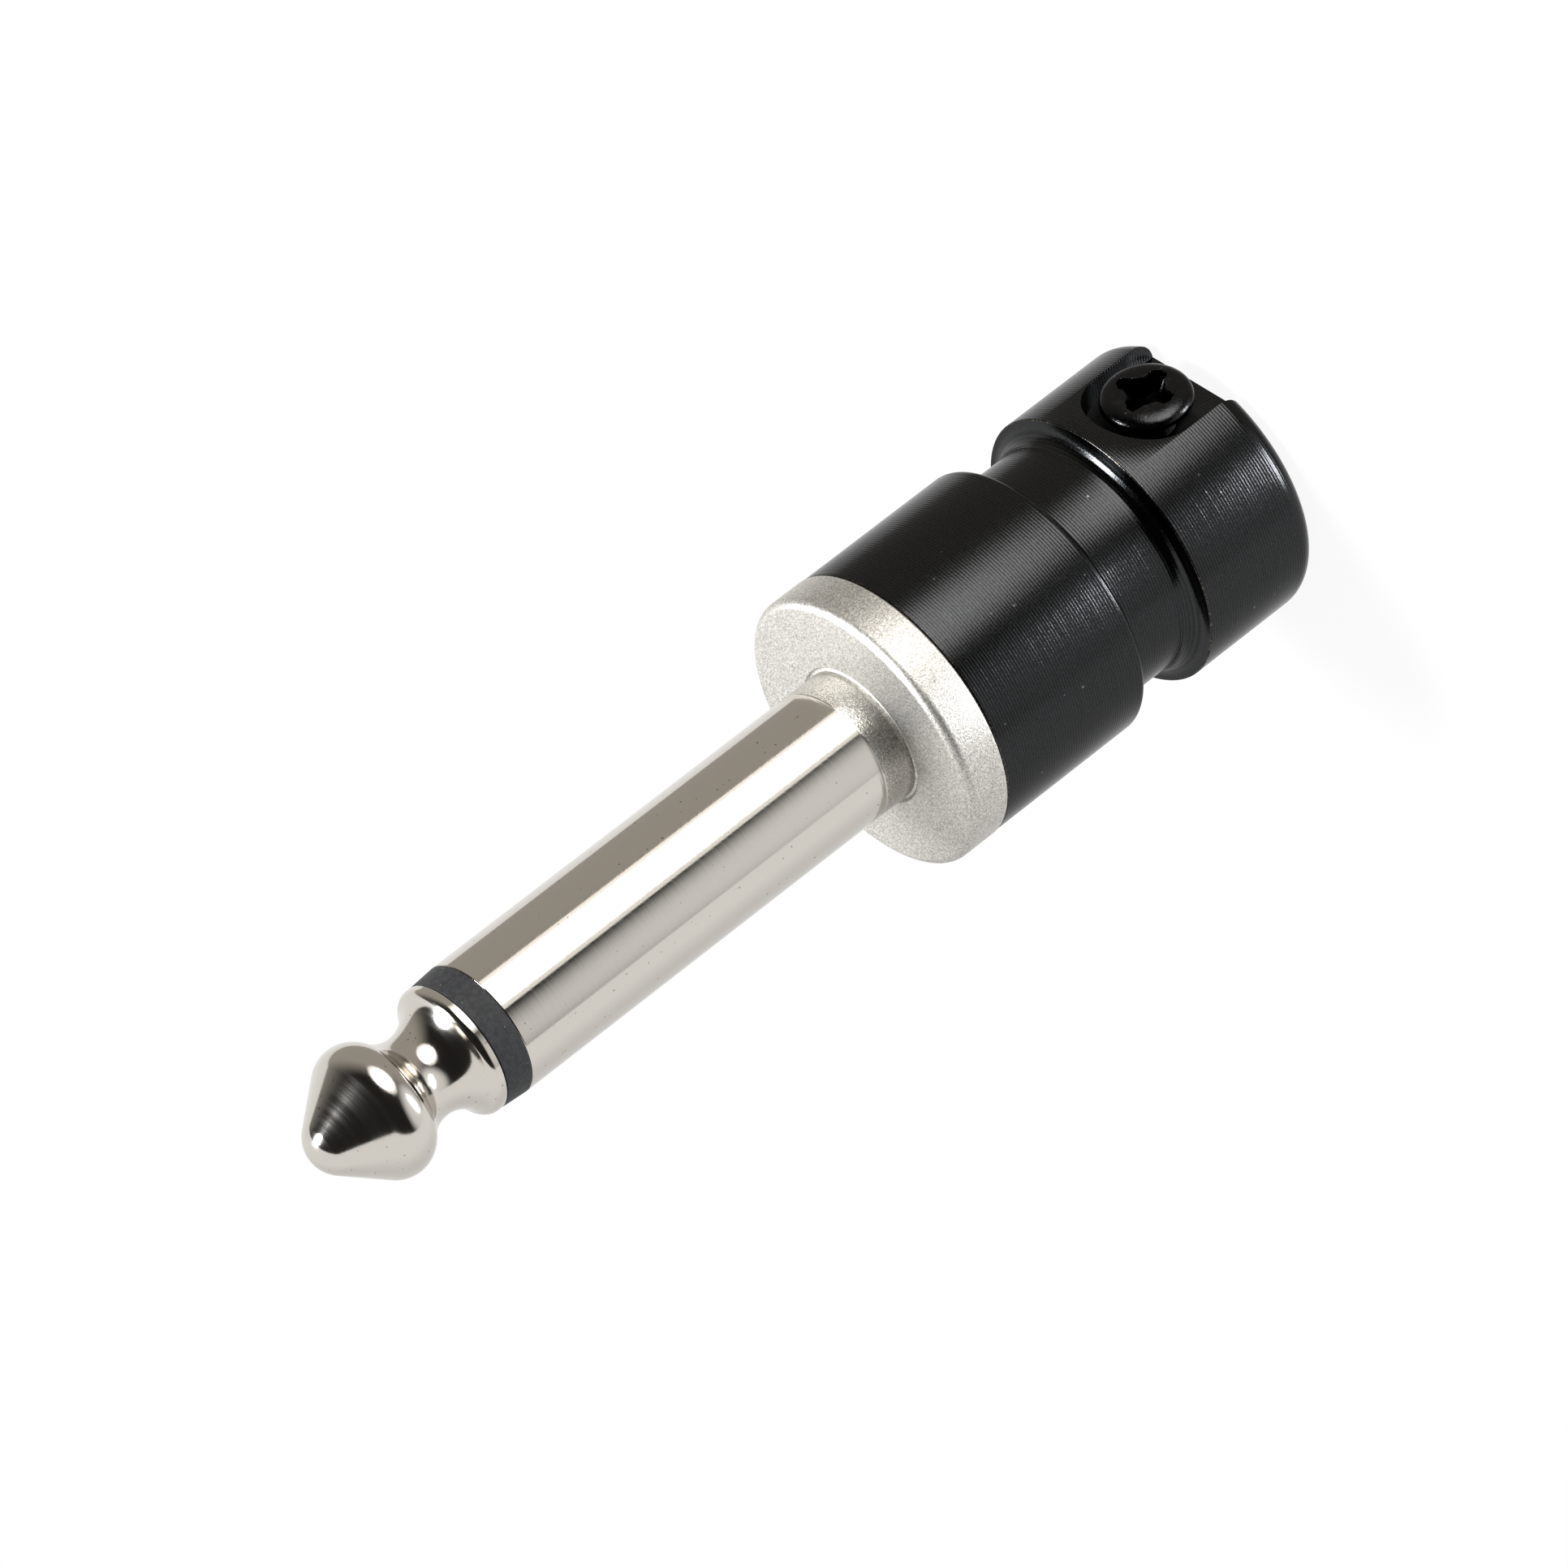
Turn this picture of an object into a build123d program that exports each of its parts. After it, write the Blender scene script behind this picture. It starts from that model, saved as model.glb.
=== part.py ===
from build123d import *
from math import acos, asin, atan2, degrees, hypot, sqrt
import os

# A mono jack plug with a screw-clamped cable, in millimetres.
# It stands on its tail: +Z runs along the plug's axis from the tail's end face to the tip,
# the origin is the middle of the end face, and the clamp screw faces -Y.

# Lengths along the axis, from the tail to the tip
TAIL_LENGTH = 6.58
WAIST_LENGTH = 3.79
BODY_LENGTH = 8.28
FLANGE_THICKNESS = 2.10
COLLAR_LENGTH = 1.50
SHAFT_LENGTH = 20.35
RING_WIDTH = 1.30
TIP_LENGTH = 8.05

# Outer radii, and the waist's depth below the housing's
HOUSING_RADIUS = 6.60
WAIST_DEPTH = 0.98
FLANGE_RADIUS = 6.63
SHAFT_RADIUS = 3.175
TIP_SHOULDER_RADIUS = 3.08

# The tip's contact form: a neck between the shoulder and the ball, then a cone to the nose
NECK_RADIUS = 1.965
NECK_FROM_RING = 2.15
BALL_RADIUS = 3.13
BALL_FROM_RING = 4.61
BALL_ROUND = 1.41
NOSE_ROUND = 1.60

# Edges, the tail's and the body's given as the round that their flats follow
TAIL_ROUND = 1.15
BODY_ROUND = 0.45
WAIST_CHAMFER = 0.35
FLANGE_CHAMFER = 0.28
EDGE_BREAK = 0.10
SHOULDER_BREAK = 0.06

# Cable bore, the wider chamber around the spike and the threaded socket that takes the sleeve
CABLE_BORE_RADIUS = 2.40
CABLE_BORE_DEPTH = 6.60
CABLE_MOUTH_CHAMFER = 0.50
CHAMBER_RADIUS = 2.80
SOCKET_RADIUS = 4.80
SOCKET_DEPTH = 7.30
SOCKET_CHAMFER = 1.00

# Slot for the clamp screw, open towards the tail's end
SLOT_WIDTH = 5.30
SLOT_FLOOR_FROM_AXIS = 4.85
SLOT_END_PAST_SCREW = 0.15
SCREW_FROM_TAIL_END = 2.85

# Clamp screw
SCREW_HEAD_RADIUS = 2.03
SCREW_HEAD_THICKNESS = 0.62
SCREW_HEAD_CHAMFER = 0.26
SCREW_THREAD_RADIUS = 1.25
SCREW_POINT_LENGTH = 0.55
SCREW_STAND_OFF = 1.10
SCREW_TIP_CLEARANCE = 0.06
RECESS_HALF_LENGTH = 1.33
RECESS_ARM_WIDTH = 0.68
RECESS_DEPTH = 0.95
RECESS_CORE_RADIUS = 0.74
RECESS_TAPER = 12.0
RECESS_TURN = 14.5

# Sleeve
SPIGOT_LENGTH = 6.20
SPIGOT_CHAMFER = 0.50
RELIEF_WIDTH = 0.80
RELIEF_DEPTH = 0.45
SLEEVE_BORE_RADIUS = 2.20

# Centre rod and what insulates it
ROD_RADIUS = 1.20
ROD_THREAD_RADIUS = 0.85
ROD_THREAD_LENGTH = 2.05
RING_SPIGOT_LENGTH = 1.60
BUSH_HEAD_RADIUS = 3.60
BUSH_HEAD_THICKNESS = 0.90
BUSH_SPIGOT_RADIUS = 2.90
BUSH_SPIGOT_LENGTH = 2.00
BUSH_RECESS = 0.20

# Spike that enters the cable's core
SPIKE_NUT_RADIUS = 1.70
SPIKE_NUT_LENGTH = 2.00
SPIKE_BASE_RADIUS = 0.70
SPIKE_LENGTH = 2.60

# Fits, radial
THREAD_CLEARANCE = 0.03
PUSH_FIT = 0.02

# Stations along the axis that follow from the lengths
waist_z = TAIL_LENGTH
body_z = waist_z + WAIST_LENGTH
flange_z = body_z + BODY_LENGTH
collar_z = flange_z + FLANGE_THICKNESS
ring_z = collar_z + COLLAR_LENGTH + SHAFT_LENGTH
tip_z = ring_z + RING_WIDTH
spigot_end_z = flange_z - SPIGOT_LENGTH
bush_end_z = spigot_end_z - BUSH_HEAD_THICKNESS


def turned(outline, breaks=()):
    """Turn a closed outline of (radius, height) corners, with some corners chamfered."""
    face = make_face(Polyline(*outline, close=True))
    for corner, size in breaks:
        face = chamfer(face.vertices().sort_by_distance((*corner, 0))[0], size)
    return revolve(Plane.XZ * face, Axis.Z)


def eased(height, size):
    """Outer edge of the housing eased by two flats, whose corners lie on a round of that size."""
    middle = size * (1 - sqrt(0.5))
    start = (HOUSING_RADIUS - size, height)
    end = (HOUSING_RADIUS, height + size)
    return [start, (HOUSING_RADIUS - middle, height + middle), end]


def housing():
    """Black body, waist and tail, one turned piece with a through bore and the screw slot."""
    socket_z = flange_z - SOCKET_DEPTH
    outer = HOUSING_RADIUS
    waist = HOUSING_RADIUS - WAIST_DEPTH
    outline = [
        (CABLE_BORE_RADIUS, 0),
        *eased(0, TAIL_ROUND),
        (outer, waist_z),
        (waist, waist_z),
        (waist, body_z),
        *eased(body_z, BODY_ROUND),
        (outer, flange_z),
        (SOCKET_RADIUS, flange_z),
        (SOCKET_RADIUS, socket_z),
        (CHAMBER_RADIUS, socket_z),
        (CHAMBER_RADIUS, CABLE_BORE_DEPTH),
        (CABLE_BORE_RADIUS, CABLE_BORE_DEPTH),
    ]
    breaks = [
        ((CABLE_BORE_RADIUS, 0), CABLE_MOUTH_CHAMFER),
        ((waist, waist_z), WAIST_CHAMFER),
        ((outer, flange_z), EDGE_BREAK),
        ((CHAMBER_RADIUS, socket_z), SOCKET_CHAMFER),
    ]
    return turned(outline, breaks) - screw_slot() - screw_hole()


def facing_out(distance):
    """Plane square to the screw's axis, at a distance from the plug's axis."""
    return Plane(origin=(0, -distance, SCREW_FROM_TAIL_END), x_dir=(1, 0, 0), z_dir=(0, -1, 0))


def screw_slot():
    """Flat-floored slot with a round front end, cut in from the side and open at the tail's end."""
    depth = HOUSING_RADIUS
    run_out = SCREW_FROM_TAIL_END + SLOT_WIDTH
    floor = facing_out(SLOT_FLOOR_FROM_AXIS) * Pos(0, SLOT_END_PAST_SCREW)
    straight = Pos(0, -run_out / 2) * Rectangle(SLOT_WIDTH, run_out)
    return extrude(floor * (Circle(SLOT_WIDTH / 2) + straight), depth)


def screw_hole():
    """Threaded hole for the clamp screw, at the thread's outer radius, through to the cable bore."""
    mouth = facing_out(0)
    return extrude(mouth * Circle(SCREW_THREAD_RADIUS + THREAD_CLEARANCE), SLOT_FLOOR_FROM_AXIS)


def clamp_screw():
    """Cross-recess screw with a low chamfered head and a blunt cone point, standing a little open."""
    underside = SLOT_FLOOR_FROM_AXIS + SCREW_STAND_OFF
    top = underside + SCREW_HEAD_THICKNESS
    point = CABLE_BORE_RADIUS + SCREW_TIP_CLEARANCE
    outline = [
        (0, point),
        (SCREW_THREAD_RADIUS - SCREW_POINT_LENGTH, point),
        (SCREW_THREAD_RADIUS, point + SCREW_POINT_LENGTH),
        (SCREW_THREAD_RADIUS, underside),
        (SCREW_HEAD_RADIUS, underside),
        (SCREW_HEAD_RADIUS, top),
        (0, top),
    ]
    screw = facing_out(0) * turned(outline, [((SCREW_HEAD_RADIUS, top), SCREW_HEAD_CHAMFER)])
    return screw - cross_recess(top)


def cross_recess(top):
    """Tapered cross with a round core, sunk into the screw's head and turned as the screw stands."""
    mouth = facing_out(top) * Rot(0, 0, RECESS_TURN)
    arm = Rectangle(2 * RECESS_HALF_LENGTH, RECESS_ARM_WIDTH)
    cross = arm + Rot(0, 0, 90) * arm
    arms = extrude(mouth * cross, -RECESS_DEPTH, taper=RECESS_TAPER)
    core = extrude(mouth * Circle(RECESS_CORE_RADIUS), -RECESS_DEPTH)
    return arms + core


def sleeve():
    """Nickel shaft, collar and flange with a threaded rear spigot, one turned piece."""
    spigot = SOCKET_RADIUS - THREAD_CLEARANCE
    relief_z = flange_z - RELIEF_WIDTH
    recess_z = spigot_end_z + BUSH_SPIGOT_LENGTH
    outline = [
        (BUSH_SPIGOT_RADIUS, spigot_end_z),
        (spigot, spigot_end_z),
        (spigot, relief_z),
        (spigot - RELIEF_DEPTH, relief_z),
        (spigot - RELIEF_DEPTH, flange_z),
        (FLANGE_RADIUS, flange_z),
        (FLANGE_RADIUS, collar_z),
        (SHAFT_RADIUS, collar_z),
        (SHAFT_RADIUS, ring_z),
        (SLEEVE_BORE_RADIUS, ring_z),
        (SLEEVE_BORE_RADIUS, recess_z),
        (BUSH_SPIGOT_RADIUS, recess_z),
    ]
    breaks = [
        ((spigot, spigot_end_z), SPIGOT_CHAMFER),
        ((FLANGE_RADIUS, flange_z), EDGE_BREAK),
        ((FLANGE_RADIUS, collar_z), FLANGE_CHAMFER),
    ]
    return turned(outline, breaks)


def tip_outline():
    """Outline of the tip and its rod, with the nose, cone, ball and neck running into each other."""
    nose = (0, tip_z + TIP_LENGTH - NOSE_ROUND)
    ball = (BALL_RADIUS - BALL_ROUND, tip_z + BALL_FROM_RING)
    # The cone touches the nose's circle and the ball's circle, which sets its slope
    apart = hypot(ball[0], nose[1] - ball[1])
    lean = degrees(atan2(ball[0], nose[1] - ball[1]))
    slope = lean - degrees(asin((NOSE_ROUND - BALL_ROUND) / apart))
    # The neck's circle touches the ball's circle, which sets its radius
    rise = BALL_FROM_RING - NECK_FROM_RING
    drop = NECK_RADIUS - ball[0]
    neck_round = (rise**2 + drop**2 - BALL_ROUND**2) / (2 * (BALL_ROUND - drop))
    neck = (NECK_RADIUS + neck_round, tip_z + NECK_FROM_RING)
    turn = degrees(atan2(rise, neck[0] - ball[0]))
    flare = degrees(acos((neck[0] - TIP_SHOULDER_RADIUS) / neck_round))

    nose_arc = CenterArc(nose, NOSE_ROUND, slope, 90 - slope)
    ball_arc = CenterArc(ball, BALL_ROUND, -turn, turn + slope)
    neck_arc = CenterArc(neck, neck_round, 180 - turn, turn + flare)
    cone = Line(ball_arc @ 1, nose_arc @ 0)
    rod_shoulder_z = bush_end_z + BUSH_RECESS
    rod_end_z = rod_shoulder_z - ROD_THREAD_LENGTH
    rest = Polyline(
        neck_arc @ 1,
        (TIP_SHOULDER_RADIUS, tip_z),
        (ROD_RADIUS, tip_z),
        (ROD_RADIUS, rod_shoulder_z),
        (ROD_THREAD_RADIUS, rod_shoulder_z),
        (ROD_THREAD_RADIUS, rod_end_z),
        (0, rod_end_z),
        nose_arc @ 1,
    )
    return [nose_arc, cone, ball_arc, neck_arc, rest]


def tip_contact():
    """Tip contact and its centre rod, one turned piece that ends in a threaded tail."""
    face = make_face(tip_outline())
    shoulder = face.vertices().sort_by_distance((TIP_SHOULDER_RADIUS, tip_z, 0))[0]
    return revolve(Plane.XZ * chamfer(shoulder, SHOULDER_BREAK), Axis.Z)


def tip_insulator():
    """Plastic ring that tapers from the shaft to the tip, with a spigot into the sleeve's bore."""
    spigot = SLEEVE_BORE_RADIUS - PUSH_FIT
    bore = ROD_RADIUS + PUSH_FIT
    spigot_z = ring_z - RING_SPIGOT_LENGTH
    return turned([
        (bore, spigot_z),
        (spigot, spigot_z),
        (spigot, ring_z),
        (SHAFT_RADIUS, ring_z),
        (TIP_SHOULDER_RADIUS, tip_z),
        (bore, tip_z),
    ])


def rod_insulator():
    """Plastic tube around the rod, from the rear bush to the ring's spigot."""
    outer = SLEEVE_BORE_RADIUS - PUSH_FIT
    bore = ROD_RADIUS + PUSH_FIT
    low = spigot_end_z + BUSH_SPIGOT_LENGTH
    high = ring_z - RING_SPIGOT_LENGTH
    return turned([(bore, low), (outer, low), (outer, high), (bore, high)])


def rear_insulator():
    """Plastic bush with a head, in the recess at the sleeve's rear end."""
    bore = ROD_RADIUS + PUSH_FIT
    spigot = BUSH_SPIGOT_RADIUS - PUSH_FIT
    spigot_z = spigot_end_z + BUSH_SPIGOT_LENGTH
    return turned([
        (bore, bush_end_z),
        (BUSH_HEAD_RADIUS, bush_end_z),
        (BUSH_HEAD_RADIUS, spigot_end_z),
        (spigot, spigot_end_z),
        (spigot, spigot_z),
        (bore, spigot_z),
    ])


def contact_spike():
    """Round nut on the rod's thread, with the sharp spike for the cable's core."""
    nut_end_z = bush_end_z - SPIKE_NUT_LENGTH
    hole = ROD_THREAD_RADIUS + PUSH_FIT
    hole_end_z = bush_end_z + BUSH_RECESS - ROD_THREAD_LENGTH
    return turned([
        (0, nut_end_z - SPIKE_LENGTH),
        (SPIKE_BASE_RADIUS, nut_end_z),
        (SPIKE_NUT_RADIUS, nut_end_z),
        (SPIKE_NUT_RADIUS, bush_end_z),
        (hole, bush_end_z),
        (hole, hole_end_z),
        (0, hole_end_z),
    ])


PIECES = {
    "tip_contact": tip_contact,
    "tip_insulator": tip_insulator,
    "rod_insulator": rod_insulator,
    "sleeve": sleeve,
    "rear_insulator": rear_insulator,
    "contact_spike": contact_spike,
    "housing": housing,
    "clamp_screw": clamp_screw,
}

os.makedirs("parts", exist_ok=True)
for name, make in PIECES.items():
    export_step(make(), f"parts/{name}.step")
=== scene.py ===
from math import acos, asin, atan2, cos, dist, hypot, pi, radians, sin, sqrt, tan

import bmesh
import bpy
from bpy.props import FloatProperty, FloatVectorProperty, PointerProperty
from bpy.types import Operator, Panel, PropertyGroup
from mathutils import Matrix, Vector


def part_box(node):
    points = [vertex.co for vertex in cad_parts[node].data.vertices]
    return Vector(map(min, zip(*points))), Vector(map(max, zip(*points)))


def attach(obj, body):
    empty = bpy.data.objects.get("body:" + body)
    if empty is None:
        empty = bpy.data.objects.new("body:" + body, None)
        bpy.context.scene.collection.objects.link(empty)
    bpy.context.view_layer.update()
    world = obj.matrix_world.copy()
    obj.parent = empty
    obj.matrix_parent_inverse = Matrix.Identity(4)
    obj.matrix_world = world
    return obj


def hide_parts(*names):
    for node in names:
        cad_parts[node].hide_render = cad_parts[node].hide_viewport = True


bl_info = {
    "name": "Mono Jack Plug",
    "version": (1, 0, 0),
    "blender": (4, 5, 0),
    "location": "View3D > Sidebar > Jack Plug",
    "description": "Dresses a screw-clamped mono jack plug and sets up its studio",
    "category": "Object",
}

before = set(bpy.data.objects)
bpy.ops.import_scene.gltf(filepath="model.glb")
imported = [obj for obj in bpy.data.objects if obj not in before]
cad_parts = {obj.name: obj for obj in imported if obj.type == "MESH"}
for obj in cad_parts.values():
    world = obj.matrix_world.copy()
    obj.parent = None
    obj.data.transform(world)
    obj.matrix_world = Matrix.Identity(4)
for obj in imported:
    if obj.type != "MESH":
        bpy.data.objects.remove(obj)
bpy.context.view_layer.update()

MM = 0.001

# Sizes that come from the solids
housing_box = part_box("housing")
sleeve_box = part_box("sleeve")
ring_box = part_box("tip_insulator")
tip_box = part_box("tip_contact")
screw_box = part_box("clamp_screw")
HOUSING_RADIUS = housing_box[1].x
FLANGE_Z = housing_box[1].z
FLANGE_RADIUS = sleeve_box[1].x
SPIGOT_END_Z = sleeve_box[0].z
RING_Z = sleeve_box[1].z
SHAFT_RADIUS = ring_box[1].x
RING_SPIGOT_Z = ring_box[0].z
TIP_Z = ring_box[1].z
BALL_RADIUS = tip_box[1].x
TIP_END_Z = tip_box[1].z
ROD_END_Z = tip_box[0].z
SCREW_HEAD_RADIUS = screw_box[1].x
SCREW_TOP = -screw_box[0].y
SCREW_POINT = -screw_box[1].y
SCREW_Z = (screw_box[0].z + screw_box[1].z) / 2

ARC_STEP = radians(7.5)
SHARP_ANGLE = radians(28)
TOUCHING = 1e-7
WEAR = "edge_wear"
ROWS_PER_PITCH = 8
SPIGOT_PITCH = 0.75 * MM
ROD_PITCH = 0.35 * MM
HOUSING_SEGMENTS = 288
SLEEVE_SEGMENTS = 256
TIP_SEGMENTS = 192
SCREW_SEGMENTS = 128


def length(label, text, value):
    """Length property with its default in millimetres."""
    return FloatProperty(
        name=label, description=text, default=value * MM, unit="LENGTH", precision=5
    )


def colour(label, text, value):
    """Colour property, written as linear values."""
    return FloatVectorProperty(
        name=label, description=text, default=value, subtype="COLOR", size=3, min=0, max=1
    )


def angle(label, text, value):
    """Angle property with its default in degrees."""
    return FloatProperty(name=label, description=text, default=radians(value), unit="ROTATION")


def strength(label, text, value):
    """Property for the strength of a lamp or a card."""
    return FloatProperty(name=label, description=text, default=value)


class HousingSizes(PropertyGroup):
    """Sizes of the turned black housing that its box doesn't give."""

    waist_z: length("Waist start", "Height of the waist's end by the tail", 6.58)
    body_z: length("Body start", "Height where the body begins", 10.42)
    waist_depth: length("Waist depth", "How deep the waist is turned", 0.98)
    tail_round: length("Tail round", "Round of the tail's end", 1.15)
    body_round: length("Body round", "Round of the body beside the waist", 0.34)
    waist_fillet: length("Waist fillet", "Fillet at the waist's end by the tail", 0.80)
    sharp_edge: length("Edge break", "Size of the broken edges where the plate wears", 0.07)
    cable_bore: length("Cable bore radius", "Radius of the cable's bore", 2.40)
    mouth_chamfer: length("Mouth chamfer", "Chamfer at the cable bore's mouth", 0.50)
    bore_depth: length("Bore depth", "Height of the step from bore to chamber", 6.60)
    chamber: length("Chamber radius", "Radius of the chamber round the spike", 2.80)
    socket: length("Socket radius", "Radius of the threaded socket", 4.80)
    socket_depth: length("Socket depth", "Depth of the socket from the flange", 7.30)
    thread_depth: length("Thread depth", "Depth of the socket's thread", 0.36)
    drill_cone: length("Drill cone", "Size of the cone at the socket's bottom", 1.00)
    rim_edge: length("Rim edge", "Broken edge of the rim beside the flange", 0.12)
    slot_width: length("Slot width", "Width of the screw's slot", 5.30)
    slot_floor: length("Slot floor", "Distance of the slot's floor from the axis", 4.85)
    slot_past_screw: length("Slot past screw", "Shift of the slot's round end", 0.15)
    slot_edge: length("Slot edge", "Width of the worn edge round the slot", 0.05)
    screw_hole: length("Screw hole radius", "Radius of the clamp screw's hole", 1.28)


class SleeveSizes(PropertyGroup):
    """Sizes of the nickel sleeve that its box doesn't give."""

    collar_z: length("Flange face", "Height of the flange's front face", 20.75)
    polish_z: length("Polish start", "Height where the blasted collar ends", 22.25)
    flange_round: length("Flange round", "Round of the flange's front edge", 0.42)
    root_groove: length("Root groove", "Depth of the groove at the collar's root", 0.11)
    edge: length("Edge break", "Small broken edges", 0.10)
    front_edge: length("Front edge", "Broken edge of the shaft beside the ring", 0.06)
    spigot: length("Spigot radius", "Outer radius of the threaded spigot", 4.77)
    spigot_chamfer: length("Spigot chamfer", "Chamfer at the spigot's end", 0.50)
    thread_depth: length("Thread depth", "Depth of the spigot's thread", 0.38)
    relief_width: length("Relief width", "Width of the thread's relief", 0.80)
    relief_depth: length("Relief depth", "Depth of the thread's relief", 0.45)
    bore: length("Bore radius", "Radius of the sleeve's bore", 2.20)
    recess: length("Recess radius", "Radius of the recess for the rear bush", 2.90)
    recess_depth: length("Recess depth", "Depth of the recess for the rear bush", 2.00)


class TipSizes(PropertyGroup):
    """Sizes of the tip, its rod and the ring behind it."""

    shoulder: length("Shoulder radius", "Radius of the tip beside the ring", 3.08)
    shoulder_round: length("Shoulder round", "Round from the flare to the shoulder", 0.38)
    shoulder_break: length("Shoulder break", "Broken edge of the shoulder", 0.06)
    neck: length("Neck radius", "Smallest radius of the neck", 1.965)
    neck_from_ring: length("Neck from ring", "Distance of the neck from the ring", 2.15)
    ball_from_ring: length("Ball from ring", "Distance of the ball's middle from the ring", 4.61)
    ball_round: length("Ball round", "Radius of the ball's arc", 1.41)
    nose_round: length("Nose round", "Radius of the nose", 1.60)
    rod: length("Rod radius", "Radius of the centre rod", 1.20)
    rod_thread: length("Rod thread radius", "Radius of the rod's threaded end", 0.85)
    rod_thread_length: length("Rod thread length", "Length of the rod's threaded end", 2.05)
    rod_thread_depth: length("Rod thread depth", "Depth of the rod's thread", 0.18)
    ring_spigot: length("Ring spigot radius", "Radius of the ring's spigot", 2.18)
    ring_bore: length("Ring bore radius", "Radius of the ring's bore", 1.22)
    ring_edge: length("Ring edge", "Broken edges of the ring", 0.04)


class ScrewSizes(PropertyGroup):
    """Sizes of the clamp screw."""

    head_thickness: length("Head thickness", "Thickness of the head", 0.62)
    head_round: length("Head round", "Height of the head's soft round", 0.47)
    head_spread: length("Head spread", "How far the head's round reaches inwards", 0.88)
    shank: length("Shank radius", "Outer radius of the thread", 1.25)
    point: length("Point length", "Length of the blunt cone point", 0.55)
    pitch: length("Pitch", "Pitch of the thread", 0.45)
    thread_depth: length("Thread depth", "Depth of the thread", 0.24)
    thread_margin: length("Thread margin", "Distance of the thread from the head", 0.25)
    under_round: length("Under round", "Fillet under the head", 0.08)
    lower_edge: length("Lower edge", "Broken edge of the head's underside", 0.05)
    recess_reach: length("Recess reach", "Radius of the recess at the end of an arm", 1.34)
    recess_arm: length("Recess arm", "Width of the recess's arms", 0.74)
    recess_core: length("Recess core", "Radius of the recess between the arms", 0.85)
    recess_depth: length("Recess depth", "Depth of the recess", 0.95)
    recess_edge: length("Recess edge", "Width of the worn edge round the recess", 0.07)
    recess_turn: angle("Recess turn", "Turn of the recess", 14.5)


class Finishes(PropertyGroup):
    """Colours of the plug's finishes."""

    plate: colour("Black plate", "Plating of the housing", (0.0294, 0.0300, 0.0310))
    oxide: colour("Black oxide", "Finish of the screw", (0.024, 0.024, 0.025))
    bare_brass: colour("Bare brass", "Metal under the worn plate", (0.24, 0.18, 0.12))
    bare_steel: colour("Bare steel", "Metal under the worn oxide", (0.55, 0.54, 0.53))
    nickel: colour("Nickel", "Polished nickel plate", (0.590, 0.555, 0.508))
    blasted: colour("Blasted nickel", "Nickel plate on blasted metal", (0.534, 0.514, 0.478))
    ring: colour("Ring plastic", "Matte plastic of the ring", (0.016, 0.016, 0.017))
    inner: colour("Inner plastic", "Natural plastic of the hidden insulators", (0.62, 0.59, 0.50))
    brass: colour("Brass", "Turned brass of the spike", (0.60, 0.43, 0.19))


class StudioSettings(PropertyGroup):
    """Camera, lamps, cards and floor."""

    aim: FloatVectorProperty(
        name="Aim",
        description="Point at the middle of the picture",
        default=(0.269 * MM, -0.223 * MM, 24.925 * MM),
        subtype="TRANSLATION",
        precision=5,
    )
    distance: length("Distance", "Distance of the camera from the aim", 464.02)
    azimuth: angle("Azimuth", "Camera's turn round the plug", 39.65)
    elevation: angle("Elevation", "Camera's height", 25.09)
    roll: angle("Roll", "Camera's turn about its view", 127.64)
    lens: FloatProperty(name="Lens", description="Focal length in millimetres", default=255.98)
    room: length("Room", "Distance of the large lamp from the aim", 600)
    top_rim: strength("Lamp rim", "Radiance of the large lamp's rim", 1.2)
    top_lamp: strength("Top lamp", "Radiance added inside the rim", 3.0)
    top_core: strength("Lamp core", "Radiance added in the middle", 1.3)
    right_lamp: strength("Right lamp", "Radiance of the right lamp", 35)
    left_lamp: strength("Left lamp", "Radiance of the left lamp", 60)
    ambient: strength("Ambient", "Strength of the soft light all round", 0.5)
    card_front: strength("Grey card", "Level of the card beyond the plug", 0.46)
    card_back: strength("Dark card", "Level of the card by the camera", 0.02)
    card_glow: strength("Glow", "Soft light round the right lamp", 0.95)
    table: strength("Table", "Level of the table in the gloss", 1.06)
    # Painted shadow: the table in the gloss is darker under the plug
    table_near: strength("Table near", "Share of that level under the plug", 0.78)
    floor_radius: length("Floor radius", "Radius of the floor", 400)
    shadow_reach: length("Shadow reach", "Where the floor's shadow has faded out", 55)


def sizes(group):
    """One group of the plug's properties."""
    return getattr(bpy.context.scene, group)


def fillet(before, corner, after, radius):
    """Points of the arc that rounds a corner of an outline."""
    to_before = (Vector(before) - Vector(corner)).normalized()
    to_after = (Vector(after) - Vector(corner)).normalized()
    half = acos(max(-1, min(1, to_before.dot(to_after)))) / 2
    centre = Vector(corner) + (to_before + to_after).normalized() * (radius / sin(half))
    start = Vector(corner) + to_before * (radius / tan(half)) - centre
    end = Vector(corner) + to_after * (radius / tan(half)) - centre
    sweep = pi - 2 * half
    turn = sweep if start.cross(end) > 0 else -sweep
    steps = max(3, round(sweep / ARC_STEP))
    return [centre + Matrix.Rotation(turn * i / steps, 2) @ start for i in range(steps + 1)]


def outline(corners, edge=0.0):
    """Outline from (radius, height, round) corners, with the small worn edges flagged."""
    points = []
    for i, (r, z, size) in enumerate(corners):
        if size == 0:
            points.append((r, z, False))
            continue
        before = corners[i - 1][:2]
        after = corners[(i + 1) % len(corners)][:2]
        points += [(p.x, p.y, size <= edge) for p in fillet(before, (r, z), after, size)]
    return points


def rows(radius, start, end, pitch):
    """Points up a threaded stretch, close enough together to carry the thread."""
    count = round(abs(end - start) / pitch * ROWS_PER_PITCH)
    return [(radius, start + (end - start) * i / count, 0) for i in range(count + 1)]


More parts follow.
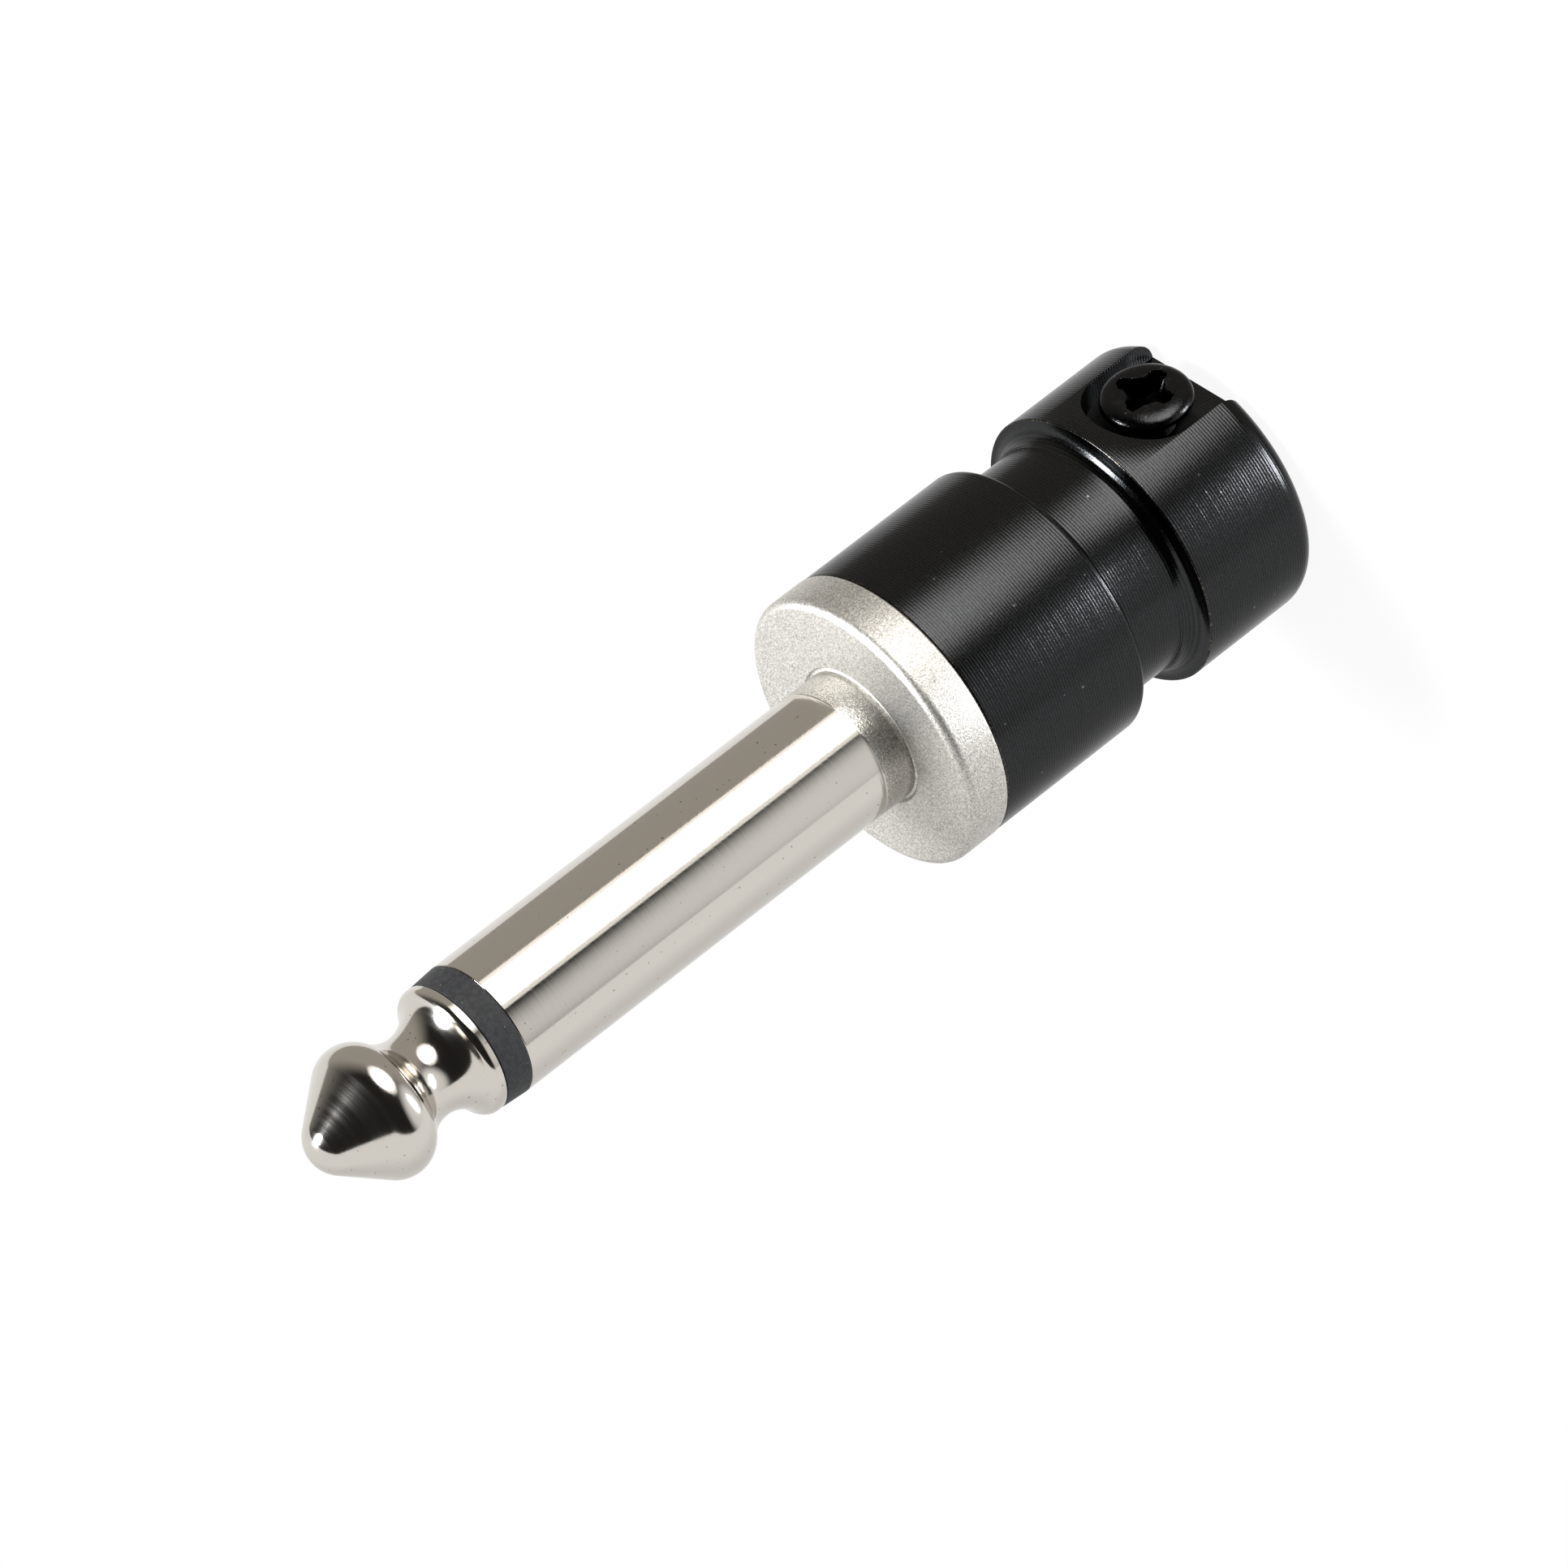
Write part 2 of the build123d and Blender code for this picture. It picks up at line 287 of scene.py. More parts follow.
def spun(name, points, segments, closed=True):
    """Turn an outline about the Z axis into a mesh, with the faces of worn edges flagged."""
    build = bmesh.new()
    wear = build.faces.layers.float.new(WEAR)
    circle = [(cos(2 * pi * i / segments), sin(2 * pi * i / segments)) for i in range(segments)]
    rings = []
    for r, z, _ in points:
        if r < TOUCHING:
            rings.append([build.verts.new((0, 0, z))] * segments)
        else:
            rings.append([build.verts.new((r * x, r * y, z)) for x, y in circle])
    pairs = list(zip(range(len(points)), range(1, len(points))))
    if closed:
        pairs.append((len(points) - 1, 0))
    for a, b in pairs:
        worn = points[a][2] and points[b][2]
        for i in range(segments):
            j = (i + 1) % segments
            corners = dict.fromkeys((rings[a][i], rings[a][j], rings[b][j], rings[b][i]))
            if len(corners) > 2:
                build.faces.new(corners)[wear] = float(worn)
    bmesh.ops.recalc_face_normals(build, faces=build.faces)
    return finish_mesh(build, name)


def placed(name, data):
    """New object in the scene."""
    made = bpy.data.objects.new(name, data)
    bpy.context.scene.collection.objects.link(made)
    return made


def turned_to(place, *axes):
    """Matrix of an object at a place, with its axes along three directions."""
    return Matrix.Translation(place) @ Matrix(axes).transposed().to_4x4()


def finish_mesh(build, name):
    """Object from a bmesh, smooth but for its sharp edges."""
    for face in build.faces:
        face.smooth = True
    for edge in build.edges:
        edge.smooth = edge.calc_face_angle(0) < SHARP_ANGLE
    mesh = bpy.data.meshes.new(name)
    build.to_mesh(mesh)
    build.free()
    return placed(name, mesh)


def apply_modifiers(piece):
    """Turn what a piece's modifiers give into its plain mesh."""
    bpy.context.view_layer.update()
    evaluated = piece.evaluated_get(bpy.context.evaluated_depsgraph_get())
    mesh = bpy.data.meshes.new_from_object(evaluated)
    piece.modifiers.clear()
    piece.data = mesh


def cut(piece, cutter):
    """Take a cutter out of a piece, and remove the cutter."""
    modifier = piece.modifiers.new("Cut", "BOOLEAN")
    modifier.operation = "DIFFERENCE"
    modifier.solver = "EXACT"
    modifier.object = cutter
    apply_modifiers(piece)
    bpy.data.objects.remove(cutter)


def prism(name, levels):
    """Closed solid through loops of points, one loop for each level."""
    build = bmesh.new()
    loops = [[build.verts.new(p) for p in level] for level in levels]
    for low, high in zip(loops, loops[1:]):
        for i, corner in enumerate(low):
            j = (i + 1) % len(low)
            build.faces.new((corner, low[j], high[j], high[i]))
    build.faces.new(loops[0])
    build.faces.new(loops[-1])
    bmesh.ops.recalc_face_normals(build, faces=build.faces)
    return finish_mesh(build, name)


def worn_edges(piece, inside, width):
    """Bevel the sharp edges whose middle passes a test, and flag the new faces as worn."""
    build = bmesh.new()
    build.from_mesh(piece.data)
    bmesh.ops.remove_doubles(build, verts=build.verts, dist=TOUCHING)
    wear = build.faces.layers.float.get(WEAR)
    sharp = [
        e
        for e in build.edges
        if e.is_manifold
        and e.calc_face_angle(0) > SHARP_ANGLE
        and inside((e.verts[0].co + e.verts[1].co) / 2)
    ]
    made = bmesh.ops.bevel(
        build, geom=sharp, offset=width, segments=2, profile=0.5, affect="EDGES", clamp_overlap=True
    )
    for face in made["faces"]:
        face[wear] = 1.0
    old = piece.data
    name = piece.name
    bpy.data.objects.remove(piece)
    bpy.data.meshes.remove(old)
    return finish_mesh(build, name)


def feed(tree, node, inputs):
    """Set a node's inputs, or link them to sockets."""
    for key, value in inputs.items():
        if isinstance(value, bpy.types.NodeSocket):
            tree.links.new(value, node.inputs[key])
        else:
            node.inputs[key].default_value = value


def put(tree, kind, inputs=None, **settings):
    """Add a node with its settings and inputs."""
    made = tree.nodes.new(kind)
    for key, value in settings.items():
        setattr(made, key, value)
    feed(tree, made, inputs or {})
    return made


def calc(tree, operation, *values, clamp=False):
    """Result of a math node."""
    inputs = dict(enumerate(values))
    return put(tree, "ShaderNodeMath", inputs, operation=operation, use_clamp=clamp).outputs[0]


def times(tree, a, b):
    """Product of two values."""
    return calc(tree, "MULTIPLY", a, b)


def measure(tree, operation, *vectors):
    """Value that a vector math node gives."""
    made = put(tree, "ShaderNodeVectorMath", dict(enumerate(vectors)), operation=operation)
    return made.outputs["Value"]


def vector(tree, x, y, z=0.0):
    """Vector from its three parts."""
    return put(tree, "ShaderNodeCombineXYZ", {0: x, 1: y, 2: z}).outputs[0]


def parts(tree, place):
    """The three parts of a vector."""
    return put(tree, "ShaderNodeSeparateXYZ", {0: place}).outputs


def own_place(tree):
    """Place on the piece, in the plug's own axes."""
    return put(tree, "ShaderNodeTexCoord").outputs["Object"]


def noise(tree, place, scale, detail, roughness):
    """Value of a noise texture."""
    inputs = {"Vector": place, "Scale": scale, "Detail": detail, "Roughness": roughness}
    return put(tree, "ShaderNodeTexNoise", inputs).outputs[0]


def ramp(tree, value, low, high, to_low=0.0, to_high=1.0):
    """Value mapped smoothly from one range to another."""
    limits = {
        "Value": value,
        "From Min": low,
        "From Max": high,
        "To Min": to_low,
        "To Max": to_high,
    }
    return put(tree, "ShaderNodeMapRange", limits, interpolation_type="SMOOTHSTEP").outputs[0]


def sockets(tree, inputs, outputs):
    """Named inputs and outputs of a node group, returned as its two end nodes."""
    for name, kind, value in inputs:
        made = tree.interface.new_socket(name, in_out="INPUT", socket_type=kind)
        if value is not None:
            made.default_value = value
    for name, kind in outputs:
        tree.interface.new_socket(name, in_out="OUTPUT", socket_type=kind)
    return tree.nodes.new("NodeGroupInput").outputs, tree.nodes.new("NodeGroupOutput")


def thread_tree():
    """Geometry nodes that cut a helical thread into a turned mesh about its Z axis."""
    tree = bpy.data.node_groups.new("Cut thread", "GeometryNodeTree")
    given, out = sockets(
        tree,
        [
            ("Geometry", "NodeSocketGeometry", None),
            ("Radius", "NodeSocketFloat", MM),
            ("Start", "NodeSocketFloat", 0.0),
            ("End", "NodeSocketFloat", MM),
            ("Pitch", "NodeSocketFloat", MM),
            ("Depth", "NodeSocketFloat", 0.0),
            ("Finish", "NodeSocketMaterial", None),
        ],
        [("Geometry", "NodeSocketGeometry")],
    )
    place = tree.nodes.new("GeometryNodeInputPosition").outputs[0]
    x, y, z = parts(tree, place)
    squares = calc(tree, "ADD", calc(tree, "POWER", x, 2.0), calc(tree, "POWER", y, 2.0))
    radius = calc(tree, "SQRT", squares)
    turn = calc(tree, "DIVIDE", calc(tree, "ARCTAN2", y, x), 2 * pi)
    climb = calc(tree, "SUBTRACT", calc(tree, "DIVIDE", z, given["Pitch"]), turn)
    flank = times(tree, calc(tree, "PINGPONG", climb, 0.5), 2.0)
    # The thread runs out over one pitch at each end
    above = calc(tree, "SUBTRACT", z, given["Start"])
    below = calc(tree, "SUBTRACT", given["End"], z)
    run_out = calc(tree, "DIVIDE", calc(tree, "MINIMUM", above, below), given["Pitch"], clamp=True)
    depth = times(tree, times(tree, flank, run_out), given["Depth"])
    scale = calc(tree, "DIVIDE", calc(tree, "SUBTRACT", radius, depth), radius)
    inward = vector(tree, times(tree, x, scale), times(tree, y, scale), z)
    on_flank = calc(tree, "COMPARE", radius, given["Radius"], 0.02 * MM)
    move = {"Geometry": given["Geometry"], "Selection": on_flank, "Position": inward}
    moved = put(tree, "GeometryNodeSetPosition", move).outputs[0]
    real = put(tree, "GeometryNodeRealizeInstances", {0: moved}).outputs[0]
    done = put(tree, "GeometryNodeSetMaterial", {"Geometry": real, "Material": given["Finish"]})
    feed(tree, out, {"Geometry": done.outputs[0]})
    return tree


def cut_thread(piece, finish, radius, start, end, pitch, depth):
    """Cut a thread into a turned piece on the Z axis. A negative depth cuts outwards."""
    tree = bpy.data.node_groups.get("Cut thread") or thread_tree()
    modifier = piece.modifiers.new("Thread", "NODES")
    modifier.node_group = tree
    values = {
        "Radius": radius,
        "Start": start,
        "End": end,
        "Pitch": pitch,
        "Depth": depth,
        "Finish": finish,
    }
    for item in tree.interface.items_tree:
        if item.in_out == "INPUT" and item.name in values:
            modifier[item.identifier] = values[item.name]
    apply_modifiers(piece)


def shader_group(name, inputs, outputs):
    """New shader group with named values going in and out."""
    tree = bpy.data.node_groups.new(name, "ShaderNodeTree")
    values = [(label, "NodeSocketFloat", value) for label, value in inputs.items()]
    return tree, *sockets(tree, values, [(label, "NodeSocketFloat") for label in outputs])


def lathe_lines(name):
    """Shader group for the fine rings that a lathe tool leaves about the plug's axis."""
    inputs = {"Feed": 0.12 * MM, "Unevenness": 0.6}
    tree, given, out = shader_group(name, inputs, ["Height", "Streak"])
    x, y, z = parts(tree, own_place(tree))
    along = calc(tree, "DIVIDE", z, given["Feed"])
    around = 150.0
    stretched = vector(tree, times(tree, x, around), times(tree, y, around), along)
    streak = noise(tree, stretched, 0.9, 3.0, 0.6)
    # Even ridges, each turn with a strength of its own
    wave = calc(tree, "COSINE", times(tree, along, 2 * pi))
    ridge = times(tree, wave, ramp(tree, streak, 0.30, 0.70, 0.34, 0.5))
    uneven = times(tree, calc(tree, "SUBTRACT", streak, 0.5), 4.0)
    height = put(tree, "ShaderNodeMix", {"Factor": given["Unevenness"], "A": ridge, "B": uneven})
    feed(tree, out, {"Height": height.outputs[0], "Streak": streak})
    return tree


def fine_grain(name):
    """Shader group for fine grain and sparse round specks at a given size."""
    inputs = {"Size": 0.1 * MM, "Speck share": 0.1}
    tree, given, out = shader_group(name, inputs, ["Height", "Specks"])
    place = own_place(tree)
    scale = calc(tree, "DIVIDE", 1.0, given["Size"])
    grain = noise(tree, place, scale, 2.5, 0.6)
    cell = {"Vector": place, "Scale": times(tree, scale, 0.25), "Randomness": 1.0}
    cells = put(tree, "ShaderNodeTexVoronoi", cell).outputs
    pick = put(tree, "ShaderNodeSeparateColor", {0: cells["Color"]}).outputs
    chosen = calc(tree, "LESS_THAN", pick[0], given["Speck share"])
    radius = times(tree, pick[1], 0.28)
    round_spot = ramp(tree, cells["Distance"], radius, times(tree, radius, 0.6))
    feed(tree, out, {"Height": grain, "Specks": times(tree, round_spot, chosen)})
    return tree


def worn_plate(name):
    """Shader group that breaks the flagged edges up into the places where the plate is worn off."""
    tree, given, out = shader_group(name, {"Patch size": 0.3 * MM, "Share": 0.5}, ["Mask"])
    flag = put(tree, "ShaderNodeAttribute", attribute_name=WEAR).outputs["Fac"]
    patch = noise(tree, own_place(tree), calc(tree, "DIVIDE", 1.0, given["Patch size"]), 3.0, 0.7)
    least = calc(tree, "SUBTRACT", 0.70, times(tree, given["Share"], 0.4))
    patches = ramp(tree, patch, least, calc(tree, "ADD", least, 0.08))
    feed(tree, out, {"Mask": times(tree, patches, flag)})
    return tree


def material(name):
    """New material with its tree, its Principled shader and the plug's colours."""
    made = bpy.data.materials.new(name)
    made.use_nodes = True
    tree = made.node_tree
    return made, tree, tree.nodes["Principled BSDF"], sizes("plug_finishes")


def metal(tree, shader, tint, rough, normal, glancing=1.0):
    """Make a shader a metal, with the tint of what it mirrors at glancing angles."""
    feed(tree, shader, {"Base Color": tint, "Roughness": rough, "Normal": normal, "Metallic": 1.0})
    feed(tree, shader, {"Specular Tint": (glancing, glancing, glancing, 1.0)})


def use(tree, build, **inputs):
    """Place a shader group, built at its first use, set its inputs and return its outputs."""
    name = build.__name__.replace("_", " ").capitalize()
    shared = bpy.data.node_groups.get(name) or build(name)
    named = {key.replace("_", " ").capitalize(): value for key, value in inputs.items()}
    return put(tree, "ShaderNodeGroup", named, node_tree=shared).outputs


def bump(tree, height, distance, normal=None):
    """Normal from a height in units of a distance."""
    inputs = {"Height": height, "Distance": distance, "Strength": 1.0}
    if normal is not None:
        inputs["Normal"] = normal
    return put(tree, "ShaderNodeBump", inputs).outputs[0]


def mixed(tree, factor, a, b):
    """Colour mixed from two by a factor."""
    a, b = (tone if isinstance(tone, bpy.types.NodeSocket) else (*tone, 1.0) for tone in (a, b))
    return put(tree, "ShaderNodeMix", {0: factor, 6: a, 7: b}, data_type="RGBA").outputs[2]


def shade(tone, share):
    """Colour made darker or paler."""
    return tuple(share * part for part in tone)


def black_plate():
    """Satin black plate over turned brass, worn to the brass on its sharp edges."""
    made, tree, shader, tones = material("black_plate")
    plug = sizes("plug_housing")
    lines = use(tree, lathe_lines, feed=0.144 * MM, unevenness=0.10)
    grain = use(tree, fine_grain, size=0.07 * MM, speck_share=0.03)
    worn = use(tree, worn_plate, patch_size=0.10 * MM, share=0.40)["Mask"]
    tone = calc(tree, "ADD", grain["Height"], times(tree, lines["Height"], 0.35))
    dark, pale = shade(tones.plate, 0.72), shade(tones.plate, 1.28)
    tint = mixed(tree, ramp(tree, tone, 0.30, 0.70), dark, pale)
    # The milled slot is duller than the turned outside: rougher, and darkened as painted shade
    x, y, z = parts(tree, own_place(tree))
    radius = measure(tree, "LENGTH", vector(tree, x, y))
    inside = calc(tree, "LESS_THAN", radius, HOUSING_RADIUS - 0.10 * MM)
    tail = ramp(tree, z, plug.waist_z - 0.05 * MM, plug.waist_z - 0.10 * MM)
    beyond_round = ramp(tree, z, plug.tail_round, plug.tail_round + 0.5 * MM)
    milled_and_shaded = times(tree, inside, times(tree, tail, beyond_round))
    # Painted shade: the slot's inside is darkened to half the plate's colour
    tint = mixed(tree, milled_and_shaded, tint, shade(tones.plate, 0.5))
    tint = mixed(tree, times(tree, worn, 0.55), tint, tones.bare_brass)
    tint = mixed(tree, grain["Specks"], tint, (0.16, 0.16, 0.15))
    satin = ramp(tree, grain["Height"], 0.3, 0.7, 0.12, 0.20)
    rough = put(tree, "ShaderNodeMix", {"Factor": milled_and_shaded, "A": satin, "B": 0.42}).outputs[0]
    turned_normal = bump(tree, lines["Height"], 0.0050 * MM)
    normal = bump(tree, grain["Height"], 0.0040 * MM, normal=turned_normal)
    metal(tree, shader, tint, rough, normal, glancing=0.7)
    return made


def polished_nickel():
    """Bright nickel plate with hardly visible polishing lines and a few specks."""
    made, tree, shader, tones = material("polished_nickel")
    lines = use(tree, lathe_lines, feed=0.16 * MM, unevenness=0.9)
    grain = use(tree, fine_grain, size=0.06 * MM, speck_share=0.25)
    rough = ramp(tree, lines["Streak"], 0.3, 0.7, 0.10, 0.14)
    tint = mixed(tree, grain["Specks"], tones.nickel, shade(tones.nickel, 0.5))
    normal = bump(tree, lines["Height"], 0.00040 * MM)
    normal = bump(tree, grain["Height"], 0.0010 * MM, normal=normal)
    metal(tree, shader, tint, rough, normal)
    return made


def sleeve_nickel():
    """Nickel plate on the sleeve: polished shaft, blasted flange and collar."""
    made, tree, shader, tones = material("sleeve_nickel")
    plug = sizes("plug_sleeve")
    place = own_place(tree)
    height = parts(tree, place)[2]
    # The polish ends a little higher away from one side
    side = measure(tree, "DOT_PRODUCT", place, (-0.07, -0.063, 0.0))
    end = calc(tree, "ADD", height, side)
    limit = plug.polish_z + 0.26 * MM
    blasted = ramp(tree, end, limit + 0.04 * MM, limit - 0.04 * MM)
    lines = use(tree, lathe_lines, feed=0.16 * MM, unevenness=0.9)
    grain = use(tree, fine_grain, size=0.075 * MM, speck_share=0.3)
    dust = use(tree, fine_grain, size=0.06 * MM, speck_share=0.20)
    # Painted shade and sparkle: the blasted tint is darker in the grain's pits and paler on its
    # peaks
    pit_shade_and_sparkle = ramp(tree, grain["Height"], 0.36, 0.64)
    frosted_with_painted_pits = mixed(tree, pit_shade_and_sparkle, shade(tones.blasted, 0.68), shade(tones.blasted, 1.25))
    tint = mixed(tree, blasted, tones.nickel, frosted_with_painted_pits)
    tint = mixed(tree, dust["Specks"], tint, shade(tones.nickel, 0.5))
    smooth = ramp(tree, lines["Streak"], 0.3, 0.7, 0.07, 0.11)
    # The collar is blasted less than the flange
    frost = ramp(tree, height, plug.collar_z + 0.05 * MM, plug.collar_z + 0.25 * MM, 0.46, 0.21)
    rough = put(tree, "ShaderNodeMix", {"Factor": blasted, "A": smooth, "B": frost}).outputs[0]
    fine = bump(tree, lines["Height"], 0.00050 * MM)
    pitted = times(tree, grain["Height"], blasted)
    normal = bump(tree, pitted, 0.014 * MM, normal=fine)
    metal(tree, shader, tint, rough, normal)
    return made


def ring_plastic():
    """Matte dark plastic with faint turning lines and pale dust."""
    made, tree, shader, tones = material("ring_plastic")
    lines = use(tree, lathe_lines, feed=0.11 * MM, unevenness=0.7)
    grain = use(tree, fine_grain, size=0.05 * MM, speck_share=0.12)
    mottle = use(tree, fine_grain, size=0.22 * MM, speck_share=0.0)
    uneven = ramp(tree, mottle["Height"], 0.35, 0.65)
    tint = mixed(tree, uneven, shade(tones.ring, 0.8), shade(tones.ring, 1.3))
    tint = mixed(tree, grain["Specks"], tint, (0.07, 0.07, 0.07))
    normal = bump(tree, lines["Height"], 0.003 * MM)
    normal = bump(tree, grain["Height"], 0.008 * MM, normal=normal)
    feed(tree, shader, {"Base Color": tint, "Roughness": 0.6, "IOR": 1.35, "Normal": normal})
    return made


def black_oxide():
    """Oiled black oxide on the screw, scuffed and rubbed bright in places on its edges."""
    made, tree, shader, tones = material("black_oxide")
    grain = use(tree, fine_grain, size=0.10 * MM, speck_share=0.25)
    scuffs = use(tree, fine_grain, size=0.55 * MM, speck_share=0.1)
    worn = use(tree, worn_plate, patch_size=0.13 * MM, share=0.56)["Mask"]
    scuffed = ramp(tree, scuffs["Height"], 0.48, 0.72, 0.0, 0.025)
    rubbed = calc(tree, "MAXIMUM", scuffed, times(tree, grain["Specks"], 0.15))
    bare = calc(tree, "MAXIMUM", worn, rubbed)
    # Painted shade: the recess is darkest, below the head's top
    place = own_place(tree)
    depth = parts(tree, place)[1]
    from_middle = measure(tree, "DISTANCE", place, (0, -SCREW_TOP, SCREW_Z))
    near = calc(tree, "LESS_THAN", from_middle, 1.5 * MM)
    recess_shade = times(tree, near, ramp(tree, depth, 0.08 * MM - SCREW_TOP, 0.25 * MM - SCREW_TOP))
    tint = mixed(tree, recess_shade, tones.oxide, shade(tones.oxide, 0.2))
    tint = mixed(tree, bare, tint, tones.bare_steel)
    rough = ramp(tree, grain["Height"], 0.3, 0.7, 0.12, 0.22)
    normal = bump(tree, grain["Height"], 0.010 * MM)
    metal(tree, shader, tint, rough, normal, glancing=0.7)
    return made


def inner_plastic():
    """Natural moulded plastic of the hidden insulators."""
    made, tree, shader, tones = material("inner_plastic")
    grain = use(tree, fine_grain, size=0.20 * MM, speck_share=0.05)
    tint = mixed(tree, grain["Height"], tones.inner, shade(tones.inner, 0.8))
    normal = bump(tree, grain["Height"], 0.01 * MM)
    feed(tree, shader, {"Base Color": tint, "Roughness": 0.5, "Normal": normal})
    return made


def turned_brass():
    """Turned brass of the spike."""
    made, tree, shader, tones = material("turned_brass")
    lines = use(tree, lathe_lines, feed=0.10 * MM, unevenness=0.6)
    tint = mixed(tree, lines["Streak"], tones.brass, shade(tones.brass, 0.75))
    rough = ramp(tree, lines["Streak"], 0.3, 0.7, 0.22, 0.34)
    metal(tree, shader, tint, rough, bump(tree, lines["Height"], 0.002 * MM))
    return made


def dress(piece, finish, body, node):
    """Give a piece its finish, its body, the node that it stands for and its slot."""
    piece.data.materials.clear()
    piece.data.materials.append(finish)
    for face in piece.data.polygons:
        face.material_index = 0
    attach(piece, body)
    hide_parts(node)


class PLUG_OT_housing(Operator):
    """Turn the black housing, cut its slot and screw hole, and wear its edges."""

    bl_idname = "plug.housing"
    bl_label = "Turned housing"

    def execute(self, context):
        size = sizes("plug_housing")
        finish = black_plate()
        outer = HOUSING_RADIUS
        waist = outer - size.waist_depth
        bottom = FLANGE_Z - size.socket_depth
        thread = (bottom + 0.6 * MM, FLANGE_Z - 0.3 * MM)
        edge = size.sharp_edge
        points = outline(
            [
                (size.cable_bore + size.mouth_chamfer, 0, 0),
                (outer, 0, size.tail_round),
                (outer, size.waist_z, edge),
                (waist, size.waist_z, size.waist_fillet),
                (waist, size.body_z, edge / 2),
                (outer, size.body_z, size.body_round),
                (outer, FLANGE_Z, size.rim_edge),
                (size.socket, FLANGE_Z, edge),
                *rows(size.socket, thread[1], thread[0], SPIGOT_PITCH),
                (size.socket, bottom, 0),
                (size.chamber + size.drill_cone, bottom, 0),
                (size.chamber, bottom - size.drill_cone, 0),
                (size.chamber, size.bore_depth, 0),
                (size.cable_bore, size.bore_depth, 0),
                (size.cable_bore, size.mouth_chamfer, 0),
            ],
            size.rim_edge,
        )
        piece = spun("black_housing", points, HOUSING_SEGMENTS)
        cut_thread(piece, finish, size.socket, *thread, SPIGOT_PITCH, -size.thread_depth)
        cut(piece, self.slot_cutter(size))
        cut(piece, self.hole_cutter(size))
        margin = 0.1 * MM
        half = size.slot_width / 2 + margin
        top = SCREW_Z + size.slot_past_screw + half

        def on_slot(place):
            return place.y < margin - size.slot_floor and abs(place.x) < half and place.z < top

        piece = worn_edges(piece, on_slot, size.slot_edge)
        dress(piece, finish, "plug", "housing")
        return {"FINISHED"}

    def slot_cutter(self, size):
        """Solid of the slot: flat floor, round end, open at the tail's end."""
        half = size.slot_width / 2
        middle = SCREW_Z + size.slot_past_screw
        turns = [pi * i / 48 for i in range(49)]
        shape = [(half * cos(t), middle + half * sin(t)) for t in turns]
        shape += [(-half, -2 * MM), (half, -2 * MM)]
        levels = [-size.slot_floor, -HOUSING_RADIUS - 2 * MM]
        return prism("slot", [[(x, y, z) for x, z in shape] for y in levels])

    def hole_cutter(self, size):
        """Solid of the screw's hole, from the slot's floor into the cable bore."""
        turns = [2 * pi * i / 64 for i in range(64)]
        shape = [(size.screw_hole * cos(t), SCREW_Z + size.screw_hole * sin(t)) for t in turns]
        levels = [-size.slot_floor - MM, -size.cable_bore + MM]
        return prism("hole", [[(x, y, z) for x, z in shape] for y in levels])


class PLUG_OT_sleeve(Operator):
    """Turn the nickel sleeve with its blasted flange and threaded spigot."""

    bl_idname = "plug.sleeve"
    bl_label = "Nickel sleeve"

    def execute(self, context):
        size = sizes("plug_sleeve")
        finish = sleeve_nickel()
        relief_z = FLANGE_Z - size.relief_width
        root = size.spigot - size.relief_depth
        recess_z = SPIGOT_END_Z + size.recess_depth
        stretch = (SPIGOT_END_Z + size.spigot_chamfer, relief_z)
        points = outline(
            [
                (size.recess, SPIGOT_END_Z, 0),
                (size.spigot - size.spigot_chamfer, SPIGOT_END_Z, 0),
                *rows(size.spigot, *stretch, SPIGOT_PITCH),
                (root, relief_z, 0),
                (root, FLANGE_Z, 0),
                (FLANGE_RADIUS, FLANGE_Z, size.edge),
                (FLANGE_RADIUS, size.collar_z, size.flange_round),
                (SHAFT_RADIUS + 2 * size.root_groove, size.collar_z, 0),
                (SHAFT_RADIUS + size.root_groove, size.collar_z - size.root_groove, 0),
                (SHAFT_RADIUS, size.collar_z - 0.5 * size.root_groove, 0),
                (SHAFT_RADIUS, size.polish_z, 0),
                (SHAFT_RADIUS, RING_Z, size.front_edge),
                (size.bore, RING_Z, 0),
                (size.bore, recess_z, 0),
                (size.recess, recess_z, 0),
            ]
        )
        piece = spun("nickel_sleeve", points, SLEEVE_SEGMENTS)
        cut_thread(piece, finish, size.spigot, *stretch, SPIGOT_PITCH, size.thread_depth)
        dress(piece, finish, "plug", "sleeve")
        return {"FINISHED"}


